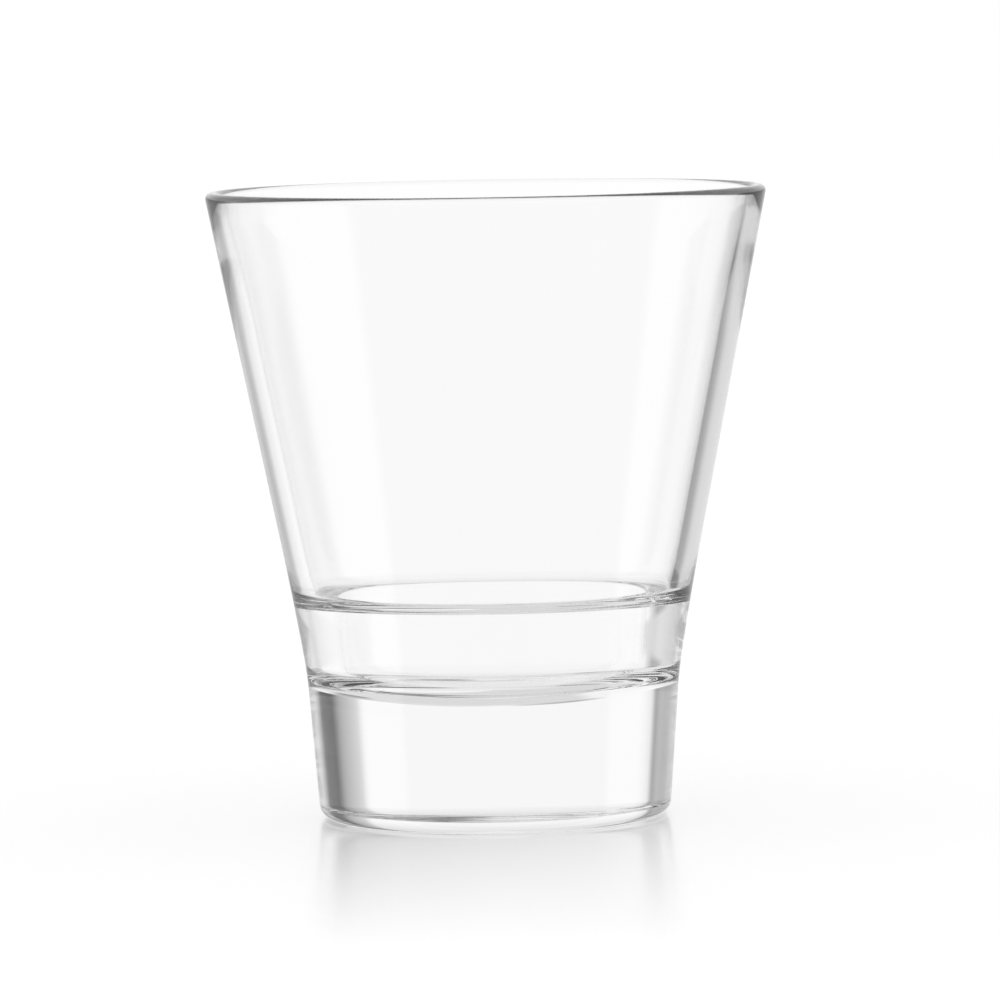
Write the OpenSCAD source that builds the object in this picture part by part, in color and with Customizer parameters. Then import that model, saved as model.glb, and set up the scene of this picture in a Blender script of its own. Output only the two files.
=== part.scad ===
// Stackable cortado glass: one thick-based tumbler of pressed soda-lime glass.
// The origin is on the table, on the axis of the glass, with +Z up. Lengths are in millimetres.

/* [Overall] */
// Height from the table to the top of the rim
height = 90; // [75:0.5:130]
// Diameter across the widest part of the rounded rim
rim_d = 80; // [68:0.5:100]

/* [Rim and wall] */
// Thickness of the glass at the top of the rim, measured level
rim_t = 2.1; // [1.6:0.1:2.8]
// Height of the lip, over which the wall thins towards the rim
lip_h = 16; // [6:1:30]
// Wall thickness at the foot of the lip, measured level
wall_t = 2.9; // [2:0.1:4]
// Wall thickness at the stacking ledge, measured level
ledge_wall_t = 3; // [2.2:0.1:5]

/* [Foot] */
// Diameter of the foot where its side would meet the table
foot_d = 50.2; // [49.4:0.1:58]
// Height of the foot's own side, up to where the body starts to flare
foot_h = 20.8; // [12:0.1:24]
// Lean of the foot's side from upright, in degrees
foot_taper = 4.4; // [1:0.1:6]
// Radius of the sweep from the foot into the body
foot_sweep_r = 60; // [20:5:100]
// Radius of the rounded heel
heel_r = 2.2; // [0.8:0.1:2.4]
// Thickness of the solid base at its middle, from the table to the floor of the well
base_t = 17.4; // [8:0.1:20.4]

/* [Stacking ledge] */
// Height of the ledge that carries the foot of the next glass
ledge_h = 31.6; // [27:0.1:42]
// Room around the foot of the next glass, on each side
stack_clearance = 0.4; // [0.3:0.1:2]
// How much wider the ledge's inner corner is rounded than the heel that sits in it
heel_clearance = 0.2; // [0.1:0.1:0.4]
// Radius of the ledge's rounded inner edge
ledge_edge_r = 0.3; // [0.2:0.1:0.4]

/* [Well] */
// Diameter of the well at the ledge
well_d = 44.4; // [36:0.1:44.6]
// Lean of the well's side from upright, in degrees
well_taper = 4; // [1:0.5:8]
// Radius of the hollow curve across the well's floor
floor_sphere_r = 80; // [50:5:200]
// Radius between the well's side and its floor
floor_fillet_r = 3.5; // [1:0.1:6]

/* [Underside] */
// Diameter of the shallow dish inside the ring that the glass stands on
dish_d = 40; // [30:0.5:43]
// Depth of that dish at its middle
dish_depth = 1; // [0.3:0.1:2.5]

/* [Hidden] */
$fn = 180;

function toward(from, to) = (to - from) / norm(to - from);

// The foot, and the room that the foot of the next glass needs above the ledge
foot_corner = [foot_d / 2, 0];
foot_top = [foot_d / 2 + foot_h * tan(foot_taper), foot_h];
nest_r = foot_d / 2 + stack_clearance;
ledge_fillet_r = heel_r + heel_clearance;
ledge_corner = [nest_r, ledge_h];
ledge_edge = [well_d / 2, ledge_h];
waist = [nest_r + ledge_wall_t, ledge_h];

// The outer wall touches the rim's rounding, so that the rounded rim is exactly rim_d wide
rim_round_share = 0.45;
rim_round_r = rim_t * rim_round_share;
rim_round_mid = [rim_d / 2 - rim_round_r, height - rim_round_r];
wall_rise = atan2(rim_round_mid[1] - waist[1], rim_round_mid[0] - waist[0])
    - asin(rim_round_r / norm(rim_round_mid - waist));
rim_outside = [waist[0] + (height - ledge_h) / tan(wall_rise), height];
rim_inside = rim_outside - [rim_t, 0];
lip_share = lip_h / (height - ledge_h);
lip_inside = rim_outside + (waist - rim_outside) * lip_share - [wall_t, 0];

// The arc between the well's side and its hollow floor touches both
well_down = [-sin(well_taper), -cos(well_taper)];
well_inward = [-cos(well_taper), sin(well_taper)];
well_foot = ledge_edge + well_down * (ledge_h - base_t / 2) / cos(well_taper);
floor_sphere_mid = [0, base_t + floor_sphere_r];
arc_start = ledge_edge + well_inward * floor_fillet_r - floor_sphere_mid;
arc_reach = floor_sphere_r - floor_fillet_r;
arc_fall = arc_start * well_down;
arc_drop = sqrt(arc_fall * arc_fall - arc_start * arc_start + arc_reach * arc_reach) - arc_fall;
floor_arc_mid = floor_sphere_mid + arc_start + well_down * arc_drop;
floor_touch = floor_sphere_mid + toward(floor_sphere_mid, floor_arc_mid) * floor_sphere_r;
well_touch = floor_arc_mid - well_inward * floor_fillet_r;
to_floor = toward(floor_arc_mid, floor_touch);
to_well = toward(floor_arc_mid, well_touch);
corner_reach = floor_fillet_r / cos(acos(to_floor * to_well) / 2);
floor_corner = floor_arc_mid + toward([0, 0], to_floor + to_well) * corner_reach;

dish_r = (dish_d * dish_d / 4 + dish_depth * dish_depth) / (2 * dish_depth);

// Each arc is drawn this much too large, so that it crosses the sides it runs into
bite_share = 0.00002;
bite = height * bite_share;

// What lies between a corner p and the arc of radius r that runs into both of its sides.
// The sides go from p towards a and b. The piece reaches a little past the corner,
// so it either fills an inside corner or cuts an outside one.
module corner_piece(p, a, b, r) {
    u = toward(p, a);
    v = toward(p, b);
    half_angle = acos(u * v) / 2;
    run = r / tan(half_angle);
    inward = toward([0, 0], u + v);
    middle = p + inward * r / sin(half_angle);
    difference() {
        polygon([p - inward * run / 2, p + u * run, middle, p + v * run]);
        translate(middle) circle(r + bite);
    }
}

// Half section of the outside: rounded heel, tapered foot, and a body that flares to the rim
module outer_half() {
    difference() {
        polygon([[0, 0], foot_corner, foot_top, waist, rim_outside, [0, height]]);
        corner_piece(foot_corner, [0, 0], foot_top, heel_r);
    }
    corner_piece(foot_top, foot_corner, waist, foot_sweep_r);
}

// Half section of the glass under the well, hollowed to the curve of the well's floor
module floor_bed_half() {
    difference() {
        polygon([
            [0, 0], [well_d / 2, 0], [well_d / 2, floor_arc_mid[1]], [0, floor_arc_mid[1]]
        ]);
        translate(floor_sphere_mid) circle(floor_sphere_r);
    }
}

// Half section of the hollow: lip, flared bowl, ledge, and the well with its curved floor
module hollow_half() {
    mouth = rim_inside + toward(lip_inside, rim_inside) * lip_h;
    difference() {
        polygon([
            [0, base_t / 2], well_foot, ledge_edge, ledge_corner, lip_inside, rim_inside,
            mouth, [0, mouth[1]]
        ]);
        floor_bed_half();
        corner_piece(floor_corner, floor_touch, ledge_edge, floor_fillet_r);
        corner_piece(ledge_corner, ledge_edge, lip_inside, ledge_fillet_r);
    }
}

// Half section of the whole glass: hollow, with its edges rounded and the dish under its base
module body_half() {
    difference() {
        outer_half();
        hollow_half();
        corner_piece(ledge_edge, well_foot, ledge_corner, ledge_edge_r);
        corner_piece(rim_outside, waist, rim_inside, rim_round_r);
        corner_piece(rim_inside, rim_outside, lip_inside, rim_round_r);
        translate([0, dish_depth - dish_r]) circle(dish_r);
    }
}

module tumbler() {
    color([0.95, 0.95, 0.95, 0.35])
        rotate_extrude() body_half();
}

tumbler();
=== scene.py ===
"""A clear, stackable cortado glass, on a pale floor in soft studio light."""
import math

import bmesh
import bpy
from mathutils import Euler, Matrix, Vector


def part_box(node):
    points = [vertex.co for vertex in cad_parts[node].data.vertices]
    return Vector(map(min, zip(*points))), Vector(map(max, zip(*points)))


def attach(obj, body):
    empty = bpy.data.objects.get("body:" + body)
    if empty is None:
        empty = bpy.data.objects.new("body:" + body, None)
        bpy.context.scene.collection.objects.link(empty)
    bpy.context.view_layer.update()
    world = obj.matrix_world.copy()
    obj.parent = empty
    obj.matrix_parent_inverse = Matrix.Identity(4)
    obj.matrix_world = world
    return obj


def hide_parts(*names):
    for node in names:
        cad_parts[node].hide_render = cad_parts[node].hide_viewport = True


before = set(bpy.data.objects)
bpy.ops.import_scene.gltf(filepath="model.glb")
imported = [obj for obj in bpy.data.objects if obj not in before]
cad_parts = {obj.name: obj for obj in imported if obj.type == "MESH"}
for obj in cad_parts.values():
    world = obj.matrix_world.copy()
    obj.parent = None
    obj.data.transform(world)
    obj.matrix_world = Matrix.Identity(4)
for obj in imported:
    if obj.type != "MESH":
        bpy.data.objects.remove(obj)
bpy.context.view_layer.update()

MM = 0.001
WHITE = "#FFFFFF"


def linear(hex_colour):
    """An sRGB hex colour as the linear RGBA that shaders take."""
    parts = [int(hex_colour[i:i + 2], 16) / 255 for i in (1, 3, 5)]
    return [c / 12.92 if c <= 0.04045 else ((c + 0.055) / 1.055) ** 2.4 for c in parts] + [1.0]


def add_node(tree, kind, settings=None, links=None):
    """Adds a node; settings are its own properties, socket values or ramp stops, links go to its sockets."""
    node = tree.nodes.new(kind)
    for name, value in (settings or {}).items():
        if name == "stops":
            stops = node.color_ramp.elements
            while len(stops) < len(value):
                stops.new(1.0)
            for stop, (place, colour) in zip(stops, value):
                stop.position, stop.color = place, linear(colour)
        elif isinstance(name, str) and hasattr(node, name):
            setattr(node, name, value)
        else:
            node.inputs[name].default_value = value
    for name, socket in (links or {}).items():
        tree.links.new(socket, node.inputs[name])
    return node


# The glass's sizes, in metres. Height and rim come from the frame, the others repeat the CAD's.
# A hair of room keeps the spun rim inside the CAD's box.
low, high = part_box("tumbler")
BOX_ROOM = 0.01 * MM
HEIGHT = high.z
RIM_R = (high.x - low.x) / 2 - BOX_ROOM
RIM_T = 2.1 * MM
RIM_ROUND_R = RIM_T * 0.45
LIP_H = 16 * MM
LIP_SWEEP_R = 250 * MM
WALL_T = 2.9 * MM
WAIST_SWEEP_R = 300 * MM
LEDGE_WALL = 3.0 * MM
FOOT_R = 25.1 * MM
FOOT_H = 20.8 * MM
FOOT_TAPER = math.radians(4.4)
FOOT_SWEEP_R = 60 * MM
HEEL_R = 2.2 * MM
BASE_T = 17.4 * MM
LEDGE_H = 31.6 * MM
STACK_ROOM = 0.4 * MM
HEEL_ROOM = 0.2 * MM
LEDGE_EDGE_R = 0.3 * MM
WELL_R = 22.2 * MM
WELL_TAPER = math.radians(4)
FLOOR_SPHERE_R = 80 * MM
FLOOR_FILLET_R = 3.5 * MM
DISH_R = 20 * MM
DISH_DEPTH = 1.0 * MM
DISH_EDGE_R = 6 * MM

# The arcs of the dish and of the well's floor are a little short, so that they end just before the axis.
DISH_ARC_R = DISH_R * DISH_R / 2 / DISH_DEPTH * 0.99
FLOOR_ARC_R = FLOOR_SPHERE_R * 0.98

# How finely the section is spun and cut, and how close two points are the same.
SPIN_STEPS = 288
LONGEST_EDGE = 3 * MM
SAME_POINT = 0.001 * MM


def section_corners():
    """The section's corners as (point, rounding radius, arc segments), from under the base to the well."""
    nest_r = FOOT_R + STACK_ROOM
    foot_top = Vector((FOOT_R + FOOT_H * math.tan(FOOT_TAPER), 0, FOOT_H))
    waist = Vector((nest_r + LEDGE_WALL, 0, LEDGE_H))
    up_to_rim = Vector((RIM_R - RIM_ROUND_R, 0, HEIGHT - RIM_ROUND_R)) - waist
    wall_rise = math.atan2(up_to_rim.z, up_to_rim.x) - math.asin(RIM_ROUND_R / up_to_rim.length)
    rim_outside = Vector((waist.x + (HEIGHT - LEDGE_H) / math.tan(wall_rise), 0, HEIGHT))
    rim_inside = rim_outside - Vector((RIM_T, 0, 0))
    lip_inside = rim_outside.lerp(waist, LIP_H / (HEIGHT - LEDGE_H)) - Vector((WALL_T, 0, 0))
    ledge_corner = Vector((nest_r, 0, LEDGE_H))
    floor_edge_r = WELL_R - (LEDGE_H - BASE_T) * math.tan(WELL_TAPER)
    floor_rise = FLOOR_SPHERE_R - math.sqrt(FLOOR_SPHERE_R ** 2 - floor_edge_r ** 2)
    floor_shoulder_r = floor_edge_r - floor_rise / math.tan(math.asin(floor_edge_r / FLOOR_SPHERE_R))
    return [
        (Vector((0, 0, DISH_DEPTH)), 0, 0),
        (Vector((DISH_R / 2, 0, DISH_DEPTH)), DISH_ARC_R, 16),
        (Vector((DISH_R, 0, 0)), DISH_EDGE_R, 4),
        (Vector((FOOT_R, 0, 0)), HEEL_R, 14),
        (foot_top, FOOT_SWEEP_R, 8),
        (waist, WAIST_SWEEP_R, 8),
        (rim_outside, RIM_ROUND_R, 14),
        (rim_inside, RIM_ROUND_R, 14),
        (lip_inside, LIP_SWEEP_R, 8),
        (ledge_corner, HEEL_R + HEEL_ROOM, 16),
        (Vector((WELL_R, 0, LEDGE_H)), LEDGE_EDGE_R, 8),
        (Vector((floor_edge_r, 0, BASE_T + floor_rise)), FLOOR_FILLET_R, 20),
        (Vector((floor_shoulder_r, 0, BASE_T)), FLOOR_ARC_R, 20),
        (Vector((0, 0, BASE_T)), 0, 0),
    ]


def round_corner(bm, vert, radius, segments):
    """Bevels one corner of the section into an arc of that radius."""
    a, b = [(edge.other_vert(vert).co - vert.co).normalized() for edge in vert.link_edges]
    run = radius / math.tan(a.angle(b) / 2)
    bmesh.ops.bevel(bm, geom=[vert], offset=run, offset_type="OFFSET", affect="VERTICES",
                    segments=segments, profile=0.5, material=-1, clamp_overlap=True)


def draw_section(bm):
    """The half section: a line through its corners, rounded, and cut where its edges are long."""
    corners = section_corners()
    verts = [bm.verts.new(point) for point, _, _ in corners]
    for first, second in zip(verts, verts[1:]):
        bm.edges.new((first, second))
    for vert, (_, radius, segments) in zip(verts, corners):
        if radius:
            round_corner(bm, vert, radius, segments)
    for edge in [e for e in bm.edges if e.calc_length() > LONGEST_EDGE]:
        bmesh.ops.subdivide_edges(bm, edges=[edge], cuts=int(edge.calc_length() / LONGEST_EDGE))


def make_tumbler(material):
    """The whole glass: its half section spun about the axis."""
    bm = bmesh.new()
    draw_section(bm)
    bmesh.ops.spin(bm, geom=bm.verts[:] + bm.edges[:], cent=(0, 0, 0), axis=(0, 0, 1),
                   angle=math.tau, steps=SPIN_STEPS, use_merge=True)
    bmesh.ops.remove_doubles(bm, verts=bm.verts[:], dist=SAME_POINT)
    bmesh.ops.recalc_face_normals(bm, faces=bm.faces[:])
    for face in bm.faces:
        face.smooth = True
    mesh = bpy.data.meshes.new("cortado_glass")
    bm.to_mesh(mesh)
    bm.free()
    glass = bpy.data.objects.new("cortado_glass", mesh)
    bpy.context.scene.collection.objects.link(glass)
    mesh.materials.append(material)
    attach(glass, "root")
    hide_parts("tumbler")


# Pressed glass is never quite even: its skin has faint waves, about as wide as a fingertip.
WAVE = 12 * MM
WAVE_DEPTH = 0.004 * MM


def clear_glass():
    """Clear soda-lime glass, pressed and fire-polished."""
    # It gives the eye sharp mirror images and lines bent by the wall that waver a little. It has no colour,
    # and only where it is thick, in the foot and along the edges, it takes a little of the light.
    material = bpy.data.materials.new("clear_soda_lime_glass")
    material.use_nodes = True
    tree = material.node_tree
    tree.nodes.clear()
    place = add_node(tree, "ShaderNodeTexCoord").outputs["Object"]
    waves = add_node(tree, "ShaderNodeTexNoise", {"Scale": 1 / WAVE, "Detail": 1.0}, {"Vector": place})
    skin = add_node(tree, "ShaderNodeBump", {"Strength": 1.0, "Distance": WAVE_DEPTH}, {
        "Height": waves.outputs["Fac"]})
    body = add_node(tree, "ShaderNodeBsdfPrincipled", {
        "Base Color": linear(WHITE), "Transmission Weight": 1.0, "IOR": 1.52, "Roughness": 0.0}, {
        "Normal": skin.outputs["Normal"]})
    inside = add_node(tree, "ShaderNodeVolumeAbsorption", {"Color": linear("#EAEAEA"), "Density": 3.0})
    add_node(tree, "ShaderNodeOutputMaterial", links={
        "Surface": body.outputs["BSDF"], "Volume": inside.outputs["Volume"]})
    return material


# What the glass sees round it: greys by compass angle, 0 straight behind the glass and 90 to its right.
ROUND_ABOUT = {
    # The gaps on either side of the white backdrop. They show only through the solid foot.
    "beside": [
        (-80, "#FFFFFF"), (-74, "#E0E0E0"), (-66, "#B8B8B8"), (-61, "#B4B4B4"), (-57, "#B8B8B8"),
        (-54.3, "#B0B0B0"), (-52, "#9A9A9A"), (-50.4, "#B0B0B0"), (-49.2, "#D4D4D4"), (-48, "#ECECEC"),
        (-45, "#F8F8F8"), (-41, "#FFFFFF"), (33, "#FFFFFF"), (34.6, "#F8F8F8"), (35.6, "#E6E6E6"),
        (36.6, "#D8D8D8"), (38.2, "#CCCCCC"), (42, "#BABABA"), (45.6, "#A4A4A4"), (48, "#848484"),
        (50, "#505050"), (52, "#2C2C2C"), (58, "#242424"), (62, "#505050"), (66, "#B4B4B4"),
        (70, "#E4E4E4"), (76, "#FFFFFF")],
    # Rays that were turned back inside the glass see, from below upwards: the near floor, the far floor,
    # what stands behind at table height, what is level with the eye, and the upper room.
    "near_floor": [
        (-180, "#F0F0F0"), (-60, "#F0F0F0"), (-50, "#FCFCFC"), (-24, "#FCFCFC"), (-19, "#E0E0E0"),
        (60, "#E0E0E0"), (90, "#F0F0F0"), (180, "#F0F0F0")],
    "far_floor": [
        (-180, "#F0F0F0"), (-60, "#F0F0F0"), (-50, "#FCFCFC"), (-24, "#FCFCFC"), (-19, "#E0E0E0"),
        (29, "#E0E0E0"), (34, "#808080"), (45, "#808080"), (51, "#E0E0E0"), (60, "#E0E0E0"),
        (90, "#F0F0F0"), (180, "#F0F0F0")],
    "table_height": [
        (-180, "#F0F0F0"), (-80, "#FFFFFF"), (-27, "#FFFFFF"), (-23, "#D8D8D8"), (-18, "#B4B4B4"),
        (-13, "#B8B8B8"), (-6, "#DCDCDC"), (-2, "#FFFFFF"), (2, "#F4F4F4"), (10, "#EBEBEB"),
        (24, "#E2E2E2"), (29, "#DCDCDC"), (32, "#CACACA"), (35, "#BABABA"), (38, "#AEAEAE"),
        (45, "#AEAEAE"), (56, "#FFFFFF"), (80, "#FFFFFF"), (180, "#F0F0F0")],
    "eye_level": [
        (-180, "#F0F0F0"), (-80, "#FFFFFF"), (-40, "#F8F8F8"), (-28, "#F0F0F0"), (-19, "#E4E4E4"),
        (-10, "#FFFFFF"), (2, "#FFFFFF"), (9, "#D4D4D4"), (17, "#DDDDDD"), (38, "#E3E3E3"),
        (46, "#DCDCDC"), (56, "#E3E3E3"), (66, "#FFFFFF"), (80, "#FFFFFF"), (180, "#F0F0F0")],
    "upper_room": [
        (-180, "#F0F0F0"), (-80, "#FFFFFF"), (-66, "#FFFFFF"), (-60, "#A0A0A0"), (-49, "#A0A0A0"),
        (-44, "#F0F0F0"), (-30, "#E4E4E4"), (0, "#D8D8D8"), (25, "#C4C4C4"), (40, "#A8A8A8"),
        (49, "#404040"), (55, "#404040"), (64, "#FFFFFF"), (80, "#FFFFFF"), (180, "#F0F0F0")],
    # Painted shade for where the ledge and the well's floor end: rays turn often there, and then leave
    # towards these greys.
    "painted_side_shade": [
        (-180, "#FFFFFF"), (-50, "#FFFFFF"), (-45, "#909090"), (-36, "#909090"), (-30, "#FFFFFF"),
        (16, "#FFFFFF"), (26, "#585858"), (46, "#585858"), (56, "#909090"), (145, "#909090"),
        (165, "#FFFFFF")],
    # Mirror images on the glass show the backdrop, its dim edges, a long light on either side and a dim
    # room in front.
    "mirror_image": [
        (-180, "#606060"), (-123, "#606060"), (-118, "#FFFFFF"), (-80, "#FFFFFF"), (-74, "#F6F6F6"),
        (-50, "#ECECEC"), (-44, "#D0D0D0"), (-34, "#BCBCBC"), (-22, "#B0B0B0"), (-12, "#D0D0D0"),
        (-4, "#FFFFFF"), (4, "#FFFFFF"), (12, "#E0E0E0"), (20, "#C4C4C4"), (30, "#B4B4B4"),
        (45, "#A8A8A8"), (55, "#D0D0D0"), (62, "#F0F0F0"), (74, "#FFFFFF"), (100, "#FFFFFF"),
        (105, "#606060"), (180, "#606060")],
}
# The lift, in degrees above eye level, over which one of these gives way to the next above it.
UPWARDS = [(-18.5, -17, "far_floor"), (-15, -13.5, "table_height"), (-6, -3, "eye_level"),
           (2, 4, "upper_room")]
# What is straight behind the glass, by lift.
BEHIND = [(-90, "#E4E4E4"), (-60, "#F0F0F0"), (-34, "#F8F8F8"), (-18, "#FCFCFC"), (-10, "#FFFFFF"),
          (4, "#FFFFFF"), (12, "#F6F6F6"), (25, "#EAEAEA"), (90, "#E0E0E0")]

# Light runs along inside the rim and the wall for very many turns before it leaves.
MOST_BOUNCES = 200
MOST_TURNS = 196
MOST_SURFACES = 24
# Painted shade by how often a ray was turned inside the glass: the grey left after so many turns. What runs
# down the wall comes in from all round, and is kept bright.
PAINTED_SHADE_AFTER_TURNS = [(10, "#FFFFFF"), (14, "#404040"), (56, "#404040"), (64, "#FFFFFF"), (92, "#FFFFFF"),
              (104, "#202020")]
# For the painted shade, rays that leave to the right, and not steeply down, count as turned more often, and
# rays that leave to the left as turned less often.
ASIDE = 0.4
EXTRA_TURNS_LEFT, EXTRA_TURNS_RIGHT = -2, 3.5
EXTRA_LIFT = (-20, -8)
# Painted shade on the right end of the rim: what ran round in it for long and leaves far to the left is made
# dark.
RIM_END_ASIDE = -0.55
RIM_END_TURNS = 56
PAINTED_RIM_END_GREY = "#202020"
# The painted shade of the sides shows only to rays that turned more than once and don't leave steeply down.
DIM_TURNS = 1.5
DIM_LIFT = (-26, -20)
ONE_TURN = 0.5
# A ray through the foot crosses two surfaces, and one through the bowl crosses four.
FOOT_SURFACES = 2.5


def look_directions(tree):
    """Where a ray looks: its axes, its compass turn from 0 to 1, and its lift in degrees."""
    look = add_node(tree, "ShaderNodeTexCoord").outputs["Generated"]
    axes = add_node(tree, "ShaderNodeSeparateXYZ", links={0: look}).outputs
    angle = add_node(tree, "ShaderNodeMath", {"operation": "ARCTAN2"}, {
        0: axes["X"], 1: axes["Y"]}).outputs[0]
    turn = add_node(tree, "ShaderNodeMapRange", {"From Min": -math.pi, "From Max": math.pi}, {
        "Value": angle}).outputs[0]
    rise = add_node(tree, "ShaderNodeMath", {"operation": "ARCSINE"}, {0: axes["Z"]}).outputs[0]
    lift = add_node(tree, "ShaderNodeMath", {"operation": "MULTIPLY", 1: 180 / math.pi}, {
        0: rise}).outputs[0]
    return axes, turn, lift


def greys_round_about(tree, turn):
    """The greys round the glass, each looked up by the compass turn."""
    greys = {}
    for name, stops in ROUND_ABOUT.items():
        by_turn = [((at + 180) / 360, grey) for at, grey in stops]
        greys[name] = add_node(tree, "ShaderNodeValToRGB", {"stops": by_turn}, {"Fac": turn}).outputs["Color"]
    return greys


def seen_straight(tree, greys, lift, path):
    """What shows straight through the glass: the backdrop, and through the foot also the gaps beside it."""
    height = add_node(tree, "ShaderNodeMapRange", {"From Min": -90, "From Max": 90}, {
        "Value": lift}).outputs[0]
    by_height = [((at + 90) / 180, grey) for at, grey in BEHIND]
    behind = add_node(tree, "ShaderNodeValToRGB", {"stops": by_height}, {"Fac": height}).outputs["Color"]
    solid = add_node(tree, "ShaderNodeMath", {"operation": "LESS_THAN", 1: FOOT_SURFACES}, {
        0: path["Transmission Depth"]}).outputs[0]
    return add_node(tree, "ShaderNodeMixRGB", {"blend_type": "MULTIPLY"}, {
        "Fac": solid, "Color1": behind, "Color2": greys["beside"]}).outputs[0]


def seen_upwards(tree, greys, lift):
    """What turned rays see, from the near floor upwards, and the share of the upper room in it."""
    turned = greys["near_floor"]
    for lowest, highest, name in UPWARDS:
        share = add_node(tree, "ShaderNodeMapRange", {
            "interpolation_type": "SMOOTHSTEP", "From Min": lowest, "From Max": highest}, {
            "Value": lift}).outputs[0]
        turned = add_node(tree, "ShaderNodeMixRGB", links={
            "Fac": share, "Color1": turned, "Color2": greys[name]}).outputs[0]
    return turned, share


def painted_shade_by_turns(tree, turned, axes, lift, path):
    """Paints shade by how often a ray was turned back inside the glass."""
    sideways = add_node(tree, "ShaderNodeMapRange", {
        "From Min": -ASIDE, "From Max": ASIDE, "To Min": EXTRA_TURNS_LEFT, "To Max": EXTRA_TURNS_RIGHT}, {
        "Value": axes["X"]}).outputs[0]
    level = add_node(tree, "ShaderNodeMapRange", {
        "interpolation_type": "SMOOTHSTEP", "From Min": EXTRA_LIFT[0], "From Max": EXTRA_LIFT[1]}, {
        "Value": lift}).outputs[0]
    turns = add_node(tree, "ShaderNodeMath", {"operation": "MULTIPLY_ADD"}, {
        0: sideways, 1: level, 2: path["Glossy Depth"]}).outputs[0]
    count = add_node(tree, "ShaderNodeMath", {"operation": "MULTIPLY", 1: 1 / MOST_BOUNCES}, {
        0: turns}).outputs[0]
    by_count = [(at / MOST_BOUNCES, grey) for at, grey in PAINTED_SHADE_AFTER_TURNS]
    # Painted shade: a grey by how often the ray was turned inside the glass.
    left = add_node(tree, "ShaderNodeValToRGB", {"stops": by_count}, {"Fac": count}).outputs["Color"]
    return add_node(tree, "ShaderNodeMixRGB", {"blend_type": "MULTIPLY", "Fac": 1}, {
        "Color1": turned, "Color2": left}).outputs[0]


def painted_dark_rim_end(tree, turned, axes, path):
    """Paints shade on what ran round in the rim for long and then leaves far to the left."""
    leftward = add_node(tree, "ShaderNodeMath", {"operation": "LESS_THAN", 1: RIM_END_ASIDE}, {
        0: axes["X"]}).outputs[0]
    lasting = add_node(tree, "ShaderNodeMath", {"operation": "GREATER_THAN", 1: RIM_END_TURNS}, {
        0: path["Glossy Depth"]}).outputs[0]
    rim_end = add_node(tree, "ShaderNodeMath", {"operation": "MULTIPLY"}, {
        0: leftward, 1: lasting}).outputs[0]
    # Painted shade: the rim's right end is made near black.
    return add_node(tree, "ShaderNodeMixRGB", {"Color2": linear(PAINTED_RIM_END_GREY)}, {
        "Fac": rim_end, "Color1": turned}).outputs[0]


def painted_dark_ledge_ends(tree, turned, greys, lift, path):
    """Paints shade on the ends of the ledge and of the well's floor, where rays turn often."""
    often = add_node(tree, "ShaderNodeMath", {"operation": "GREATER_THAN", 1: DIM_TURNS}, {
        0: path["Glossy Depth"]}).outputs[0]
    not_steep = add_node(tree, "ShaderNodeMapRange", {
        "interpolation_type": "SMOOTHSTEP", "From Min": DIM_LIFT[0], "From Max": DIM_LIFT[1]}, {
        "Value": lift}).outputs[0]
    dimmed = add_node(tree, "ShaderNodeMath", {"operation": "MULTIPLY"}, {0: often, 1: not_steep}).outputs[0]
    # Painted shade: the sides' greys laid over rays that turned often.
    return add_node(tree, "ShaderNodeMixRGB", {"blend_type": "MULTIPLY"}, {
        "Fac": dimmed, "Color1": turned, "Color2": greys["painted_side_shade"]}).outputs[0]


def make_world():
    """A plain white studio. The glass shows the gaps beside its backdrop, a dimmer room in front, and painted
    shade where rays turned often inside it.
    """
    world = bpy.data.worlds.new("studio")
    bpy.context.scene.world = world
    world.use_nodes = True
    tree = world.node_tree
    tree.nodes.clear()
    axes, turn, lift = look_directions(tree)
    path = add_node(tree, "ShaderNodeLightPath").outputs
    greys = greys_round_about(tree, turn)
    straight = seen_straight(tree, greys, lift, path)
    turned, upper_share = seen_upwards(tree, greys, lift)
    # Painted shade on the glass, by how often rays turned inside it.
    turned = painted_shade_by_turns(tree, turned, axes, lift, path)
    # Painted shade at the rim's right end.
    turned = painted_dark_rim_end(tree, turned, axes, path)
    # Painted shade at the ends of the ledge and of the well's floor.
    turned = painted_dark_ledge_ends(tree, turned, greys, lift, path)
    once_turned = add_node(tree, "ShaderNodeMath", {"operation": "GREATER_THAN", 1: ONE_TURN}, {
        0: path["Glossy Depth"]}).outputs[0]
    through = add_node(tree, "ShaderNodeMixRGB", links={
        "Fac": once_turned, "Color1": straight, "Color2": turned}).outputs[0]
    mirrored = add_node(tree, "ShaderNodeMixRGB", {"Color2": linear(WHITE)}, {
        "Fac": upper_share, "Color1": greys["mirror_image"]}).outputs[0]
    seen = add_node(tree, "ShaderNodeMixRGB", links={
        "Fac": path["Is Reflection Ray"], "Color1": through, "Color2": mirrored}).outputs[0]
    by_glass = add_node(tree, "ShaderNodeMath", {"operation": "ADD", "use_clamp": True}, {
        0: path["Is Glossy Ray"], 1: path["Is Transmission Ray"]}).outputs[0]
    colour = add_node(tree, "ShaderNodeMixRGB", {"Color1": linear(WHITE)}, {
        "Fac": by_glass, "Color2": seen}).outputs[0]
    light = add_node(tree, "ShaderNodeBackground", {"Strength": 1.0}, {"Color": colour})
    add_node(tree, "ShaderNodeOutputWorld", links={"Surface": light.outputs["Background"]})


# The floor reaches far past the picture. Its polish ends a little way from the glass.
STAGE_R = 3.0
STAGE_SIDES = 64
POLISH_R = 150 * MM


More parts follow.
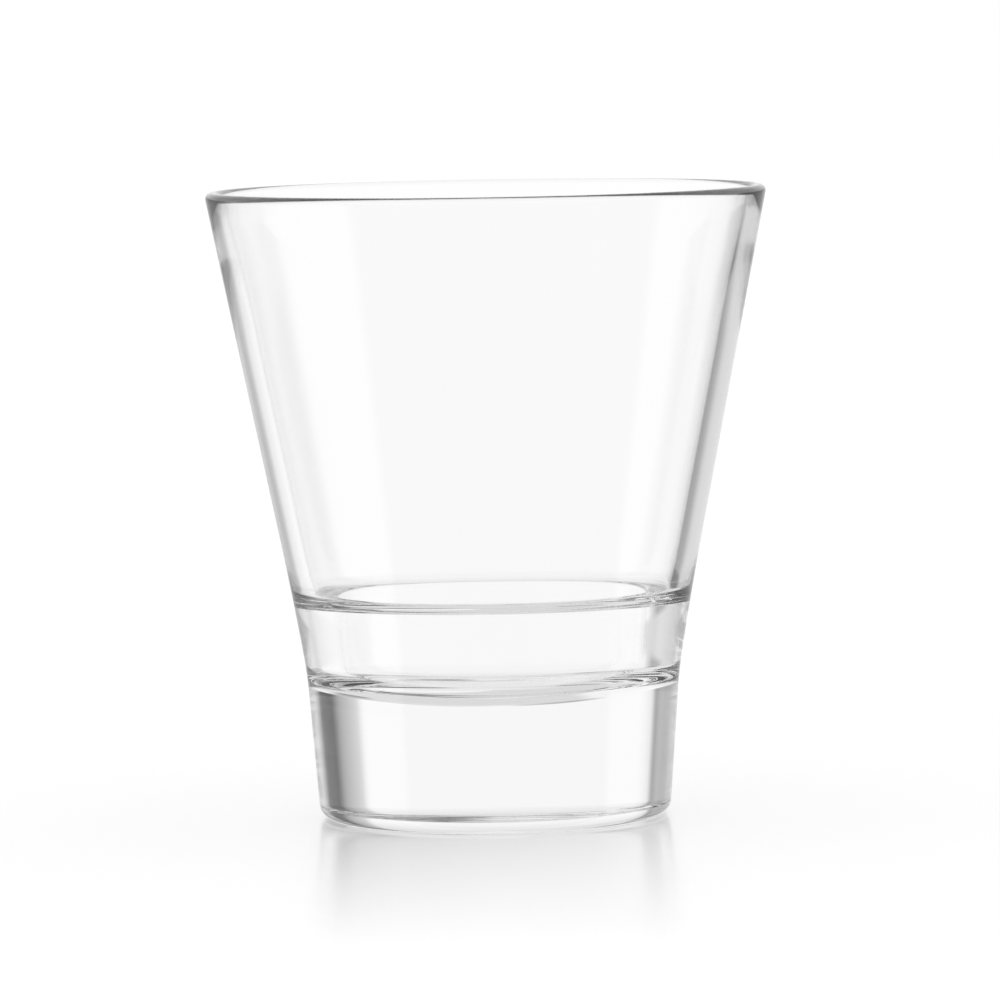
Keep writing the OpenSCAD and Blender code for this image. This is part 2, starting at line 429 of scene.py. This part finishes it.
def pale_floor():
    """Matt white card with a thin, worn polish."""
    # It gives the eye a plain white ground, a soft shadow under the glass and a blurred mirror image of
    # its foot.
    material = bpy.data.materials.new("pale_floor")
    material.use_nodes = True
    tree = material.node_tree
    tree.nodes.clear()
    matt = add_node(tree, "ShaderNodeBsdfDiffuse", {"Color": linear("#C1C1C1")})
    glow = add_node(tree, "ShaderNodeEmission", {"Color": linear(WHITE), "Strength": 0.5})
    both = add_node(tree, "ShaderNodeAddShader", links={0: matt.outputs[0], 1: glow.outputs[0]})
    gloss = add_node(tree, "ShaderNodeBsdfGlossy", {"Color": linear(WHITE), "Roughness": 0.2})
    sheen = add_node(tree, "ShaderNodeFresnel", {"IOR": 1.45})
    place = add_node(tree, "ShaderNodeTexCoord").outputs["Object"]
    away = add_node(tree, "ShaderNodeVectorMath", {"operation": "LENGTH"}, {0: place}).outputs["Value"]
    polish = add_node(tree, "ShaderNodeMapRange", {
        "From Min": FOOT_R, "From Max": POLISH_R, "To Min": 1.0, "To Max": 0.0}, {"Value": away}).outputs[0]
    shine = add_node(tree, "ShaderNodeMath", {"operation": "MULTIPLY"}, {
        0: sheen.outputs[0], 1: polish}).outputs[0]
    coat = add_node(tree, "ShaderNodeMixShader", links={0: shine, 1: both.outputs[0], 2: gloss.outputs[0]})
    add_node(tree, "ShaderNodeOutputMaterial", links={"Surface": coat.outputs[0]})
    return material


def make_floor(material):
    """The floor that the glass stands on. Rays through the glass see the studio's own greys in its place."""
    bm = bmesh.new()
    bmesh.ops.create_circle(bm, cap_ends=True, segments=STAGE_SIDES, radius=STAGE_R)
    mesh = bpy.data.meshes.new("floor")
    bm.to_mesh(mesh)
    bm.free()
    floor = bpy.data.objects.new("floor", mesh)
    bpy.context.scene.collection.objects.link(floor)
    mesh.materials.append(material)
    floor.visible_transmission = False
    floor.visible_glossy = False


# The photograph's camera: far off, a little above the rim, and rolled by about a degree.
CAMERA_AWAY = 1.06
CAMERA_UP = 125 * MM
CAMERA_PITCH = math.radians(4.3)
CAMERA_ROLL = math.radians(-0.95)
CAMERA_ASIDE = 1.36 * MM
LENS_MM = 267.3
SENSOR_MM = 36


def make_camera():
    """The camera, at the photograph's viewing angle."""
    data = bpy.data.cameras.new("camera")
    data.sensor_width = SENSOR_MM
    data.lens = LENS_MM
    camera = bpy.data.objects.new("camera", data)
    bpy.context.scene.collection.objects.link(camera)
    camera.location = (CAMERA_ASIDE, -CAMERA_AWAY, CAMERA_UP)
    tilt = Euler((math.pi / 2 - CAMERA_PITCH, 0, 0)).to_matrix()
    roll = Matrix.Rotation(CAMERA_ROLL, 3, "Z")
    camera.rotation_euler = (tilt @ roll).to_euler()
    bpy.context.scene.camera = camera


bpy.context.scene.view_settings.view_transform = "Standard"
bpy.context.scene.cycles.max_bounces = MOST_BOUNCES
bpy.context.scene.cycles.glossy_bounces = MOST_TURNS
bpy.context.scene.cycles.transmission_bounces = MOST_SURFACES
make_tumbler(clear_glass())
make_world()
make_floor(pale_floor())
make_camera()
